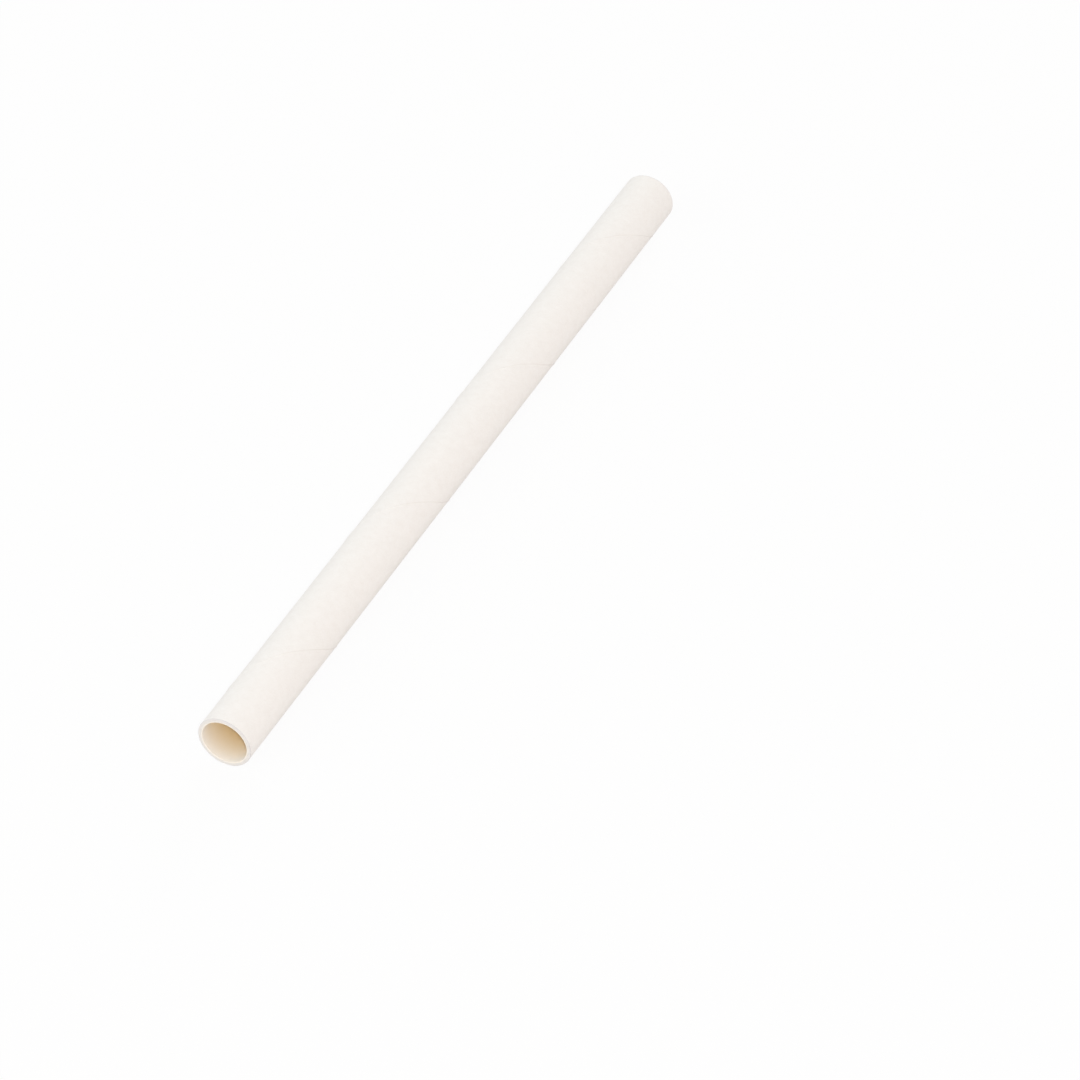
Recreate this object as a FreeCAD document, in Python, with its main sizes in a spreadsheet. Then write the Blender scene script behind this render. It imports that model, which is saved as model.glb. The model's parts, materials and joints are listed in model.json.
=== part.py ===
import FreeCAD, Part
import os
import Sketcher

# A paper drinking straw, wound from one spiral strip of paper and cut square at both ends.
# It lies on its side along X with its mouth end towards -X, and touches Z = 0.

# Driving dimensions, in millimetres, and one angle in degrees
SIZES = [
    ("length", 197.0, "end to end, both cuts square"),
    ("diameter", 12.0, "outside of the tube"),
    ("wall", 1.05, "rolled paper, all plies together"),
    ("rim_round", 0.12, "edges of both cut ends, softened by the cutter"),
    ("seam_pitch", 50.25, "advance of the strip's edge in one turn"),
    ("seam_start", 20.65, "from the mouth end to the seam's first crossing of the top line"),
    ("seam_width", 0.24, "butt gap between the turns of the outer ply, across the gap"),
    ("seam_depth", 0.12, "one outer ply"),
    ("cut_overrun", 0.3, "how far the seam's cutter stands proud of the tube"),
    ("section_turn", 6.75, "where the section's circles start, in degrees past the level plane"),
]

# Sketcher's names for a constraint's whole element and its points
START, END, CENTRE = 1, 2, 3
ORIGIN = -1


def make_sheet(document):
    """Puts every driving dimension in a cell that has its name as alias."""
    sheet = document.addObject("Spreadsheet::Sheet", "dims")
    for row, (name, value, meaning) in enumerate(SIZES, start=1):
        sheet.set(f"A{row}", name)
        sheet.set(f"B{row}", str(value))
        sheet.set(f"C{row}", meaning)
        sheet.setAlias(f"B{row}", name)
    document.recompute()
    return sheet


def origin_feature(body, role):
    """The body's own origin plane or axis with this role."""
    return next(item for item in body.Origin.OriginFeatures if item.Role == role)


def new_sketch(body, name, plane):
    """A sketch that lies on one of the body's origin planes."""
    sketch = body.newObject("Sketcher::SketchObject", name)
    sketch.AttachmentSupport = [(origin_feature(body, plane), "")]
    sketch.MapMode = "FlatFace"
    return sketch


def constrain(sketch, name, kind, *elements, size):
    """Adds a named dimension to a sketch and binds it to an expression of the sheet."""
    sketch.addConstraint(Sketcher.Constraint(kind, *elements, 1.0))
    sketch.renameConstraint(sketch.ConstraintCount - 1, name)
    sketch.setExpression(f"Constraints.{name}", size)


def add_ring_section(body):
    """The tube's section: two circles about the tube's axis, on a plane at the mouth end."""
    sketch = new_sketch(body, "ring_section", "YZ_Plane")
    sketch.setExpression("AttachmentOffset.Base.z", "-dims.length / 2")
    sketch.setExpression("AttachmentOffset.Rotation.Angle", "dims.section_turn")
    axis_point = FreeCAD.Vector(0, 0, 0)
    normal = FreeCAD.Vector(0, 0, 1)
    for name, radius in (
        ("outside", "dims.diameter / 2"),
        ("bore", "dims.diameter / 2 - dims.wall"),
    ):
        circle = sketch.addGeometry(Part.Circle(axis_point, normal, 1.0))
        sketch.addConstraint(Sketcher.Constraint("Coincident", circle, CENTRE, ORIGIN, START))
        constrain(sketch, name, "Radius", circle, size=radius)
    return sketch


def add_tube(body, document):
    """The plain wound tube, as long as the straw."""
    tube = body.newObject("PartDesign::Pad", "tube")
    tube.Profile = add_ring_section(body)
    tube.setExpression("Length", "dims.length")
    document.recompute()
    return tube


def soften_rims(body, tube, document):
    """Rounds the outer and inner edge of both cut ends."""
    rims = [
        f"Edge{number}"
        for number, edge in enumerate(tube.Shape.Edges, start=1)
        if isinstance(edge.Curve, Part.Circle)
    ]
    rounding = body.newObject("PartDesign::Fillet", "rim_rounding")
    rounding.Base = (tube, rims)
    rounding.setExpression("Radius", "min(dims.rim_round; dims.wall / 3)")
    document.recompute()
    return rounding


def add_seam_section(body):
    """The gap's section, on the vertical plane through the axis, one turn before its first crossing."""
    sketch = new_sketch(body, "seam_section", "XZ_Plane")
    corners = [
        FreeCAD.Vector(-2, 5, 0),
        FreeCAD.Vector(-1, 5, 0),
        FreeCAD.Vector(-1, 7, 0),
        FreeCAD.Vector(-2, 7, 0),
    ]
    sides = len(corners)
    for index in range(sides):
        sketch.addGeometry(Part.LineSegment(corners[index], corners[(index + 1) % sides]))
    for index in range(sides):
        following = (index + 1) % sides
        sketch.addConstraint(Sketcher.Constraint("Coincident", index, END, following, START))
    for index, run in enumerate(("Horizontal", "Vertical", "Horizontal", "Vertical")):
        sketch.addConstraint(Sketcher.Constraint(run, index))
    floor_side, end_side = 0, 1
    slant = "sqrt(1 + (dims.seam_pitch / (pi * dims.diameter)) ^ 2)"
    constrain(
        sketch, "floor_radius", "DistanceY", ORIGIN, START, floor_side, START,
        size="dims.diameter / 2 - dims.seam_depth",
    )
    constrain(
        sketch, "reach", "DistanceY", end_side, START, end_side, END,
        size="dims.seam_depth + dims.cut_overrun",
    )
    constrain(
        sketch, "axial_width", "DistanceX", floor_side, START, floor_side, END,
        size=f"dims.seam_width * {slant}",
    )
    constrain(
        sketch, "setback", "DistanceX", floor_side, START, ORIGIN, START,
        size=f"dims.length / 2 - dims.seam_start + dims.seam_pitch + dims.seam_width * {slant} / 2",
    )
    return sketch


def cut_seam(body, document):
    """The right-handed gap that the edges of the outer ply leave, through both ends."""
    seam = body.newObject("PartDesign::SubtractiveHelix", "seam")
    seam.Profile = add_seam_section(body)
    seam.ReferenceAxis = (origin_feature(body, "X_Axis"), [""])
    seam.Mode = "pitch-height-angle"
    seam.setExpression("Pitch", "dims.seam_pitch")
    seam.setExpression("Height", "dims.length + 2 * dims.seam_pitch")
    seam.LeftHanded = False
    document.recompute()
    return seam


def check_document(document):
    """Stops where any object failed, without writing a file."""
    for item in document.Objects:
        if "Invalid" in item.State or "Error" in item.State:
            raise RuntimeError(f"{item.Name} failed: {item.State}")


def make_straw(document):
    """The straw's one piece, resting on Z = 0."""
    body = document.addObject("PartDesign::Body", "straw_tube")
    body.Label = "straw_tube"
    body.setExpression("Placement.Base.z", "dims.diameter / 2")
    tube = add_tube(body, document)
    rounded = soften_rims(body, tube, document)
    seamed = cut_seam(body, document)
    body.Tip = seamed
    document.recompute()
    removed = rounded.Shape.Volume - seamed.Shape.Volume
    if removed <= 0:
        raise RuntimeError("the seam cut nothing")
    print(f"tube {tube.Shape.Volume:.1f} mm3, rims rounded {rounded.Shape.Volume:.1f}, seam took {removed:.2f}")
    return body


def main():
    document = FreeCAD.newDocument("paper_straw")
    make_sheet(document)
    body = make_straw(document)
    check_document(document)
    if body.Shape.isNull() or not body.Shape.isValid() or len(body.Shape.Solids) != 1:
        raise RuntimeError(f"{body.Label} is not one valid solid")
    os.makedirs("parts", exist_ok=True)
    body.Shape.exportStep(f"parts/{body.Label}.step")


main()
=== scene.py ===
import json
import math

import bmesh
import bpy
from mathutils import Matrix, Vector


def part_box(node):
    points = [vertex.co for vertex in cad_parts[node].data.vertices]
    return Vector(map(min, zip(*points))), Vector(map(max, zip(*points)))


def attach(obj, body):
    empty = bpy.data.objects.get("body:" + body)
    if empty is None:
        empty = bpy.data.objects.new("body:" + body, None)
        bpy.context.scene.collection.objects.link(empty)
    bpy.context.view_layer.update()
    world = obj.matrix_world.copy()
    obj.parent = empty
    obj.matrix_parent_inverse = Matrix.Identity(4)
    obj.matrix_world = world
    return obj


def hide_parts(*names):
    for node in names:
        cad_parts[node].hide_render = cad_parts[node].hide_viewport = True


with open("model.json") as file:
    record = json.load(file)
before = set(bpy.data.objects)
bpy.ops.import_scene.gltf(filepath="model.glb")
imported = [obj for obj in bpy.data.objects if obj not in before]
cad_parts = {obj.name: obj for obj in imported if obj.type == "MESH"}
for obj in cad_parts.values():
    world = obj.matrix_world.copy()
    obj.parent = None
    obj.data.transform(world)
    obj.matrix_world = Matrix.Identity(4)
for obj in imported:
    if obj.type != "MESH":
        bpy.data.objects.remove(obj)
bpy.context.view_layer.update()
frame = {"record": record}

# A white paper drinking straw, wound from spiral strip, lying on its side along X. Lengths are in metres.

MM = 0.001

# The straw's sizes, from the frame and its mounts, then the winding's own
low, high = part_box("straw_tube")
MOUNTS = {mount["name"]: mount for mount in frame["record"]["mounts"]}
MOUTH_X = low[0]
FAR_X = high[0]
LENGTH = FAR_X - MOUTH_X
RADIUS = MOUNTS["barrel"]["dims"]["r_mm"] * MM
BORE_RADIUS = MOUNTS["bore"]["dims"]["r_mm"] * MM
WALL = RADIUS - BORE_RADIUS
AXIS_Z = MOUNTS["barrel"]["pos_m"][2]
GIRTH = 2 * math.pi * RADIUS
SEAM_PITCH = 50.25 * MM
SEAM_START = 20.65 * MM
TURN_LENGTH = math.hypot(GIRTH, SEAM_PITCH)
STRIP_WIDTH = GIRTH * SEAM_PITCH / TURN_LENGTH

# The gap between the outer ply's edges: its flat floor, then the edge that curls up on the mouth side
SEAM_WIDTH = 0.18 * MM
SEAM_DEPTH = 0.09 * MM
GAP_FLOOR_SHARE = 0.55
LIP_RISE = 0.085 * MM
LIP_REACH = 0.45 * MM
RELIEF_FADE = 3

# The softened edges of a cut end, and the lines between plies that show on it
RIM_ROUND = 0.16 * MM
RIM_STEPS = 4
PLIES = 4
PLY_GAP_DEPTH = 0.03 * MM
FACE_STEPS = 16

# Mesh density: rings along the straw, and columns that crowd at the gap and its lips
SKIN_RINGS = 396
BORE_RINGS = 110
PLAIN_COLUMNS = 132
GAP_SHARES = (0.0, 0.5, 0.8, 1.0)
LIP_SHARES = (0.06, 0.15, 0.28, 0.45, 0.7, 1.0)
PLAIN_START = 0.2 * MM

# The mesh's parts, in the order of its materials
PARTS = ("skin", "cut", "bore")

# The camera, from where the straw's ends, sides and seam lie in the photograph
CAMERA_PLACE = (-0.6776, -0.3529, 0.6539)
CAMERA_ELEVATION = math.radians(41.37)
CAMERA_HEADING = math.radians(-63.9)
PHOTO_PX = 1080
FOCAL_PX = 4750
SENSOR_MM = 36
CLIP_START = 0.01

# Colours, linear
SKIN_LIGHT = (0.905, 0.888, 0.858)
SKIN_SHADE = (0.864, 0.838, 0.802)
# Painted shade down the seam's gap, on top of the modelled gap
SEAM_PAINTED_SHADE = (0.76, 0.72, 0.68)
FIBRE_TONE = (0.94, 0.93, 0.91)
CUT_INNER = (0.84, 0.785, 0.695)
# The cut face greys and darkens outwards: partly the plies' own tone, partly painted shade of its rounded
# outer edge
CUT_MIDDLE = (0.715, 0.685, 0.65)
CUT_OUTER_PLY_AND_SHADE = (0.66, 0.65, 0.65)
TORN_TONE = (0.96, 0.93, 0.88)
# The bore's own cream with painted light: paler at the mouth where light falls in, warmer deeper in where
# light comes through the wall
BORE_MOUTH_PAINTED_LIGHT = (0.935, 0.905, 0.85)
BORE_DEEP_CREAM_AND_GLOW = (0.92, 0.73, 0.45)
BORE_CLOUD_CREAM_AND_GLOW = (0.90, 0.705, 0.43)
FLOOR_TONE = (0.86, 0.86, 0.86)
WHITE = (1.0, 1.0, 1.0)

# How far inside the mouth the bore keeps its painted light, and how much of a fibre's own tone shows
PAINTED_MOUTH_LIGHT_REACH = 7.0 * MM
FIBRE_SHARE = 0.3
TORN_SHARE = 0.25

# Fibres as (turn in degrees, scale across, scale along), and how sharply each stands out
FIBRE_LAYS = ((8, 3.4, 0.55), (-38, 2.8, 0.5), (55, 3.0, 0.6))
FIBRE_SHARPNESS = 26.0

# The paper's surface
PAPER_RELIEF = 0.02 * MM
CUT_RELIEF = 0.03 * MM
BUMP_STRENGTH = 0.55
SPECULAR = 0.25
ROUGHNESS = 0.78
ROUGHNESS_SPREAD = 0.16

# The studio: its floor, the even light all round, and each lamp's place, size, watts and colour
FLOOR_HALF = 3.0
FLOOR_WHITE_SHARE = 0.92
WORLD_STRENGTH = 0.672
LAMPS = {
    "key": ((-2.0, 1.4, 1.0), 1.6, 15.5, (0.985, 1.0, 1.0)),
    "front": ((-1.99, -1.28, 2.08), 0.2, 32.0, (1.0, 0.985, 0.955)),
    "fill": ((-0.8, -2.3, 0.9), 1.6, 3.2, (1.0, 0.24, 0.04)),
    "back": ((3.0, 0.4, 0.7), 1.0, 28.0, WHITE),
}


def seam_angle(x):
    """Where the gap lies round the tube at x: 90 degrees is the top line, and it grows towards -Y."""
    return math.radians(90) + 2 * math.pi * (x - MOUTH_X - SEAM_START) / SEAM_PITCH


def gap_half_arc():
    """Half the gap's width, measured round the tube."""
    return 0.5 * SEAM_WIDTH * TURN_LENGTH / SEAM_PITCH


def column_places():
    """Arc lengths from the seam's middle round the tube, close together at the gap and its lips."""
    gap = gap_half_arc()
    beside = [gap * share for share in GAP_SHARES]
    beside += [gap + LIP_REACH * share for share in LIP_SHARES]
    first = beside[-1] + PLAIN_START
    step = (GIRTH - 2 * first) / PLAIN_COLUMNS
    plain = [first + step * index for index in range(PLAIN_COLUMNS + 1)]
    return beside + plain + [GIRTH - place for place in reversed(beside[1:])]


def smooth(share):
    """A share from 0 to 1, eased at both ends."""
    share = min(1.0, max(0.0, share))
    return share * share * (3 - 2 * share)


def skin_drop(place):
    """How far the outer ply lies below the full radius, at an arc length from the seam's middle."""
    mouth_side = place < GIRTH / 2
    away = place if mouth_side else GIRTH - place
    gap = gap_half_arc()
    edge_drop = 0.0 if mouth_side else LIP_RISE
    if away < gap:
        up_wall = smooth((away / gap - GAP_FLOOR_SHARE) / (1 - GAP_FLOOR_SHARE))
        return SEAM_DEPTH + (edge_drop - SEAM_DEPTH) * up_wall
    if not mouth_side:
        return LIP_RISE
    curl = max(0.0, 1 - (away - gap) / LIP_REACH)
    return LIP_RISE * (1 - curl * curl)


def rounding(x_face, inward, radius, outward, leaving):
    """One softened edge of a cut end, as (x, radius) pairs from the tube's wall to the cut face or back."""
    turns = [math.radians(90) * index / RIM_STEPS for index in range(RIM_STEPS + 1)]
    if leaving:
        turns.reverse()
    pairs = []
    for turn in turns:
        from_face = RIM_ROUND * (1 - math.sin(turn))
        from_wall = RIM_ROUND * (1 - math.cos(turn))
        pairs.append((x_face + inward * from_face, radius - outward * from_wall))
    return pairs


def cut_face(x_face, inward, from_radius, to_radius):
    """The flat of a cut end between its softened edges, with a fine line between plies."""
    places = []
    for index in range(1, FACE_STEPS):
        share = index / FACE_STEPS
        on_ply_line = index % (FACE_STEPS // PLIES) == 0
        dip = PLY_GAP_DEPTH if on_ply_line else 0.0
        places.append((x_face + inward * dip, from_radius + (to_radius - from_radius) * share))
    return places


def wall_section():
    """The wall's closed section as (x, radius, part) rows: skin, far cut, bore, mouth cut."""
    first, last = MOUTH_X + RIM_ROUND, FAR_X - RIM_ROUND
    skin_step = (last - first) / SKIN_RINGS
    bore_step = (last - first) / BORE_RINGS
    face_out, face_in = RADIUS - RIM_ROUND, BORE_RADIUS + RIM_ROUND
    rows = []
    rows += [(x, r, "cut") for x, r in rounding(MOUTH_X, 1, RADIUS, 1, True)]
    rows += [(first + skin_step * index, RADIUS, "skin") for index in range(1, SKIN_RINGS)]
    rows += [(x, r, "cut") for x, r in rounding(FAR_X, -1, RADIUS, 1, False)]
    rows += [(x, r, "cut") for x, r in cut_face(FAR_X, -1, face_out, face_in)]
    rows += [(x, r, "cut") for x, r in rounding(FAR_X, -1, BORE_RADIUS, -1, True)]
    rows += [(last - bore_step * index, BORE_RADIUS, "bore") for index in range(1, BORE_RINGS)]
    rows += [(x, r, "cut") for x, r in rounding(MOUTH_X, 1, BORE_RADIUS, -1, False)]
    rows += [(x, r, "cut") for x, r in cut_face(MOUTH_X, 1, face_in, face_out)]
    return rows


def part_between(one, other):
    """A face between two rows belongs to the cut only where both rows do."""
    if one == other:
        return one
    return other if one == "cut" else one


def strip_uv(x, place):
    """Across and along the paper strip, in strip widths, so that paper detail breaks only at the seam."""
    arc = RADIUS * seam_angle(x) + place
    along = (arc * GIRTH + x * SEAM_PITCH) / TURN_LENGTH
    across = place * SEAM_PITCH / TURN_LENGTH
    return across / STRIP_WIDTH, along / STRIP_WIDTH


def ring_of_points(mesh, x, radius, places):
    """One ring of the mesh, turned with the seam. The gap and its lips fade out inside the wall."""
    start = seam_angle(x)
    relief = max(0.0, (radius - BORE_RADIUS) / WALL) ** RELIEF_FADE
    ring = []
    for place in places:
        angle = start + place / RADIUS
        reach = radius - skin_drop(place) * relief
        ring.append(mesh.verts.new((x, reach * math.cos(angle), AXIS_Z + reach * math.sin(angle))))
    return ring


def make_straw():
    """The straw as one closed mesh whose columns follow the seam."""
    places = column_places()
    rows = wall_section()
    mesh = bmesh.new()
    strip = mesh.loops.layers.uv.new("strip")
    grid = [ring_of_points(mesh, x, radius, places[:-1]) for x, radius, _ in rows]
    columns = len(places) - 1
    for row, (_, _, part) in enumerate(rows):
        below = (row + 1) % len(rows)
        part_index = PARTS.index(part_between(part, rows[below][2]))
        for column in range(columns):
            beside = (column + 1) % columns
            face = mesh.faces.new(
                (grid[row][column], grid[below][column], grid[below][beside], grid[row][beside])
            )
            face.smooth = True
            face.material_index = part_index
            corners = ((row, column), (below, column), (below, column + 1), (row, column + 1))
            for loop, (ring, place) in zip(face.loops, corners):
                loop[strip].uv = strip_uv(rows[ring][0], places[place])
    bmesh.ops.recalc_face_normals(mesh, faces=mesh.faces)
    data = bpy.data.meshes.new("wound_straw")
    mesh.to_mesh(data)
    mesh.free()
    straw = bpy.data.objects.new("wound_straw", data)
    bpy.context.scene.collection.objects.link(straw)
    return straw


class Nodes:
    """Short calls for building a material's nodes. A value is a number, a colour or a node's output."""

    def __init__(self, name):
        self.material = bpy.data.materials.new(name)
        self.material.use_nodes = True
        self.tree = self.material.node_tree
        self.tree.nodes.clear()

    def feed(self, socket, value):
        """Links an output to a socket, or sets the socket's own value."""
        if isinstance(value, bpy.types.NodeSocket):
            self.tree.links.new(value, socket)
        elif socket.type == "RGBA":
            socket.default_value = (*value, 1.0)
        else:
            socket.default_value = value

    def add(self, kind, settings=None, **inputs):
        """Adds a node. Inputs go by their socket's name, or as _0, _1 and so on by its number."""
        node = self.tree.nodes.new(kind)
        for name, value in (settings or {}).items():
            setattr(node, name, value)
        for name, value in inputs.items():
            key = int(name[1:]) if name[1:].isdigit() else name.replace("_", " ")
            self.feed(node.inputs[key], value)
        return node

    def math(self, operation, first, second=0.0, clamp=False):
        """One step of arithmetic, held between 0 and 1 where clamp is set."""
        settings = {"operation": operation, "use_clamp": clamp}
        return self.add("ShaderNodeMath", settings, _0=first, _1=second).outputs[0]

    def weighted(self, *terms):
        """The sum of (value, weight) terms."""
        total = None
        for value, weight in terms:
            term = self.math("MULTIPLY", value, weight)
            total = term if total is None else self.math("ADD", total, term)
        return total

    def ramp(self, value, start, slope):
        """0 as far as start, then rising by slope and held at 1."""
        return self.math("MULTIPLY", self.math("SUBTRACT", value, start), slope, clamp=True)

    def noise(self, vector, scale, detail, roughness):
        """A cloud pattern from about 0 to 1."""
        node = self.add(
            "ShaderNodeTexNoise", Vector=vector, Scale=scale, Detail=detail, Roughness=roughness
        )
        return node.outputs["Fac"]

    def stretched(self, vector, turn, across, along):
        """The vector turned in the paper's plane, then scaled across and along the fibres."""
        turned = self.add("ShaderNodeMapping", Vector=vector, Rotation=(0.0, 0.0, math.radians(turn)))
        scaled = self.add("ShaderNodeMapping", Vector=turned.outputs[0], Scale=(across, along, 1.0))
        return scaled.outputs[0]

    def mix(self, factor, first, second):
        """The first colour at factor 0, the second at 1. Colours go in at sockets 6 and 7, out at 2."""
        return self.add("ShaderNodeMix", {"data_type": "RGBA"}, _0=factor, _6=first, _7=second).outputs[2]

    def object_place(self):
        """The place on the object, in metres."""
        return self.add("ShaderNodeTexCoord").outputs["Object"]

    def finish(self, shader):
        """Puts the shader on the material's surface and returns the material."""
        output = self.tree.nodes.new("ShaderNodeOutputMaterial")
        self.tree.links.new(shader, output.inputs["Surface"])
        return self.material


def paper_plane(nodes):
    """Millimetres across and along the paper strip."""
    uv = nodes.add("ShaderNodeUVMap", {"uv_map": "strip"}).outputs[0]
    size = STRIP_WIDTH / MM
    return nodes.add("ShaderNodeMapping", Vector=uv, Scale=(size, size, size)).outputs[0]


def fibre_lines(nodes, plane):
    """Fine pale fibres laid mostly along the strip: 1 on a fibre, 0 between."""
    lines = None
    for turn, across, along in FIBRE_LAYS:
        stretched = nodes.stretched(plane, turn, across, along)
        field = nodes.noise(stretched, scale=1.0, detail=3.0, roughness=0.55)
        distance = nodes.math("ABSOLUTE", nodes.math("SUBTRACT", field, 0.5))
        line = nodes.math("SUBTRACT", 1.0, nodes.math("MULTIPLY", distance, FIBRE_SHARPNESS), clamp=True)
        lines = line if lines is None else nodes.math("MAXIMUM", lines, line)
    return lines


def paper_height(nodes, plane, lines):
    """Relief of uncoated paper: cloudy formation, fine grain and the fibres on top."""
    cloud = nodes.noise(plane, scale=1.1, detail=4.0, roughness=0.6)
    grain = nodes.noise(plane, scale=9.0, detail=3.0, roughness=0.6)
    return nodes.weighted((cloud, 0.55), (grain, 0.3), (lines, 0.22))


def paper_material(nodes, colour, height, relief, grain):
    """Matt paper with a relief in metres, a little rougher where the grain is high."""
    roughness = nodes.math("ADD", ROUGHNESS, nodes.math("MULTIPLY", grain, ROUGHNESS_SPREAD))
    bump = nodes.add("ShaderNodeBump", Strength=BUMP_STRENGTH, Distance=relief, Height=height)
    shader = nodes.add(
        "ShaderNodeBsdfPrincipled",
        Base_Color=colour,
        Roughness=roughness,
        Specular_IOR_Level=SPECULAR,
        Normal=bump.outputs[0],
    )
    return nodes.finish(shader.outputs[0])


def skin_material():
    """The white outer ply: faint clouds and fibres, and painted shade down the seam's gap."""
    nodes = Nodes("paper_skin")
    plane = paper_plane(nodes)
    lines = fibre_lines(nodes, plane)
    cloud = nodes.noise(plane, scale=0.55, detail=5.0, roughness=0.62)
    speckle = nodes.noise(plane, scale=2.6, detail=3.0, roughness=0.6)
    tone = nodes.ramp(nodes.weighted((cloud, 0.6), (speckle, 0.4)), start=0.36, slope=3.4)
    colour = nodes.mix(tone, SKIN_SHADE, SKIN_LIGHT)
    colour = nodes.mix(nodes.math("MULTIPLY", lines, FIBRE_SHARE), colour, FIBRE_TONE)
    across = nodes.add("ShaderNodeSeparateXYZ", Vector=plane).outputs[0]
    from_edge = nodes.math("MINIMUM", across, nodes.math("SUBTRACT", STRIP_WIDTH / MM, across))
    gap = nodes.math("SUBTRACT", 1.0, nodes.math("DIVIDE", from_edge, SEAM_WIDTH / MM / 2), clamp=True)
    # Painted shade: the seam's gap is greyed where its own shadow falls
    colour = nodes.mix(gap, colour, SEAM_PAINTED_SHADE)
    return paper_material(nodes, colour, paper_height(nodes, plane, lines), PAPER_RELIEF, speckle)


def from_axis(nodes, place):
    """Distance of a place from the straw's axis, in metres."""
    parts = nodes.add("ShaderNodeSeparateXYZ", Vector=place)
    side = nodes.math("MULTIPLY", parts.outputs[1], parts.outputs[1])
    rise = nodes.math("SUBTRACT", parts.outputs[2], AXIS_Z)
    return nodes.math("SQRT", nodes.math("ADD", side, nodes.math("MULTIPLY", rise, rise)))


def cut_material():
    """The cut ends: raw cream paper inside, greyer outside, partly the pressed plies' own tone and partly
    painted shade of the rounded outer edge; torn fibre grain.
    """
    nodes = Nodes("paper_cut_edge")
    place = nodes.object_place()
    above_bore = nodes.math("SUBTRACT", from_axis(nodes, place), BORE_RADIUS)
    share = nodes.math("DIVIDE", above_bore, WALL, clamp=True)
    grain = nodes.noise(place, scale=6000.0, detail=3.0, roughness=0.6)
    # Darker towards the outside: the plies' own tone with painted shade of the rounded outer edge
    past_inner = nodes.ramp(share, start=0.1, slope=4.0)
    past_middle = nodes.ramp(share, start=0.6, slope=3.0)
    colour = nodes.mix(past_middle, nodes.mix(past_inner, CUT_INNER, CUT_MIDDLE), CUT_OUTER_PLY_AND_SHADE)
    colour = nodes.mix(nodes.math("MULTIPLY", grain, TORN_SHARE), colour, TORN_TONE)
    return paper_material(nodes, colour, grain, CUT_RELIEF, grain)


def bore_material():
    """The inner ply: cream paper with the same clouds and fibres, with painted light paler near the mouth
    and a painted warm glow deeper in.
    """
    nodes = Nodes("paper_bore")
    plane = paper_plane(nodes)
    lines = fibre_lines(nodes, plane)
    cloud = nodes.noise(plane, scale=0.7, detail=4.0, roughness=0.6)
    clouds = nodes.ramp(cloud, start=0.3, slope=2.5)
    along = nodes.add("ShaderNodeSeparateXYZ", Vector=nodes.object_place()).outputs[0]
    from_end = nodes.math("SUBTRACT", LENGTH / 2, nodes.math("ABSOLUTE", along))
    depth = nodes.math("DIVIDE", from_end, PAINTED_MOUTH_LIGHT_REACH, clamp=True)
    # Painted light: paler near each mouth, a painted warm glow deeper in
    colour = nodes.mix(depth, BORE_MOUTH_PAINTED_LIGHT, nodes.mix(clouds, BORE_CLOUD_CREAM_AND_GLOW, BORE_DEEP_CREAM_AND_GLOW))
    return paper_material(nodes, colour, paper_height(nodes, plane, lines), PAPER_RELIEF, cloud)


def floor_material():
    """A white floor for the camera that still takes the straw's soft shadow."""
    nodes = Nodes("studio_floor")
    paths = nodes.add("ShaderNodeLightPath")
    seen = nodes.math("MAXIMUM", paths.outputs["Is Camera Ray"], paths.outputs["Is Glossy Ray"])
    seen = nodes.math("MAXIMUM", seen, paths.outputs["Is Transmission Ray"])
    matt = nodes.add("ShaderNodeBsdfDiffuse", Color=FLOOR_TONE)
    white = nodes.add("ShaderNodeEmission", Color=WHITE, Strength=1.0)
    share = nodes.math("MULTIPLY", seen, FLOOR_WHITE_SHARE)
    both = nodes.add("ShaderNodeMixShader", _0=share, _1=matt.outputs[0], _2=white.outputs[0])
    return nodes.finish(both.outputs[0])


def add_floor():
    """A flat square under the straw."""
    data = bpy.data.meshes.new("studio_floor")
    corners = [(x * FLOOR_HALF, y * FLOOR_HALF, 0.0) for x, y in ((-1, -1), (1, -1), (1, 1), (-1, 1))]
    data.from_pydata(corners, [], [(0, 1, 2, 3)])
    floor = bpy.data.objects.new("studio_floor", data)
    floor.data.materials.append(floor_material())
    bpy.context.scene.collection.objects.link(floor)


def white_background(tree, strength):
    """A white background shader's output."""
    node = tree.nodes.new("ShaderNodeBackground")
    node.inputs["Color"].default_value = (*WHITE, 1.0)
    node.inputs["Strength"].default_value = strength
    return node.outputs[0]


def add_world():
    """Even studio light, and pure white behind the floor for the camera."""
    world = bpy.data.worlds.new("studio")
    world.use_nodes = True
    tree = world.node_tree
    tree.nodes.clear()
    paths = tree.nodes.new("ShaderNodeLightPath")
    choose = tree.nodes.new("ShaderNodeMixShader")
    output = tree.nodes.new("ShaderNodeOutputWorld")
    tree.links.new(paths.outputs["Is Camera Ray"], choose.inputs[0])
    tree.links.new(white_background(tree, WORLD_STRENGTH), choose.inputs[1])
    tree.links.new(white_background(tree, 1.0), choose.inputs[2])
    tree.links.new(choose.outputs[0], output.inputs["Surface"])
    bpy.context.scene.world = world


def add_lamp(name, place, size, power, colour):
    """A square soft light that faces the straw."""
    data = bpy.data.lights.new(name, "AREA")
    data.size = size
    data.energy = power
    data.color = colour
    lamp = bpy.data.objects.new(name, data)
    lamp.location = place
    lamp.rotation_euler = lamp.location.to_track_quat("Z", "Y").to_euler()
    bpy.context.scene.collection.objects.link(lamp)


def add_camera():
    """The photograph's camera."""
    data = bpy.data.cameras.new("camera")
    data.sensor_width = SENSOR_MM
    data.lens = SENSOR_MM * FOCAL_PX / PHOTO_PX
    data.clip_start = CLIP_START
    camera = bpy.data.objects.new("camera", data)
    camera.location = CAMERA_PLACE
    camera.rotation_euler = (math.radians(90) - CAMERA_ELEVATION, 0.0, CAMERA_HEADING)
    bpy.context.scene.collection.objects.link(camera)
    bpy.context.scene.camera = camera


straw = make_straw()
for make_material in (skin_material, cut_material, bore_material):
    straw.data.materials.append(make_material())
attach(straw, "root")
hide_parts("straw_tube")

add_floor()
add_world()
for name, (place, size, power, colour) in LAMPS.items():
    add_lamp(name, place, size, power, colour)
add_camera()
bpy.context.scene.view_settings.view_transform = "Standard"
